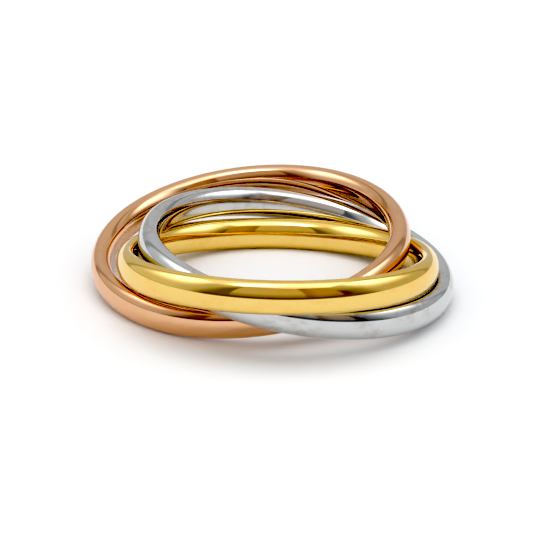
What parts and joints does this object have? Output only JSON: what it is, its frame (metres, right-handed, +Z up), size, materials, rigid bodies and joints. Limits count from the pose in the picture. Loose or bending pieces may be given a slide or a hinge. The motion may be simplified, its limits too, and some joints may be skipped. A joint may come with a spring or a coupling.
{
  "type": "triple ring",
  "caption": "Finger ring of interlinked oval-section bands in yellow, rose and white gold that roll through one another, lying flat.",
  "frame": {"origin": "on the surface that the ring lies on, under the middle of the box round all three bands", "axes": "+Z up, the way the finger hole opens; +X to the picture's right; +Y away from the picture's camera"},
  "size_m": [0.0254, 0.0254, 0.0059],
  "materials": {
    "yellow_gold": "mirror polished yellow gold",
    "rose_gold": "mirror polished rose gold",
    "white_gold": "mirror polished white gold"
  },
  "bodies": {
    "yellow_band": {"yellow_band": "yellow_gold"},
    "rose_band": {"rose_band": "rose_gold"},
    "white_band": {"white_band": "white_gold"}
  },
  "joints": [
    {"name": "rose_spin", "type": "hinge", "parent": "yellow_band", "child": "rose_band", "pos_m": [-0.00148, 0.00154, 0.00277], "axis": [-0.1174, -0.1057, 0.9874], "continuous": true},
    {"name": "white_spin", "type": "hinge", "parent": "yellow_band", "child": "white_band", "pos_m": [0.00173, -0.00048, 0.00271], "axis": [0.1554, 0.0054, 0.9878], "continuous": true}
  ]
}
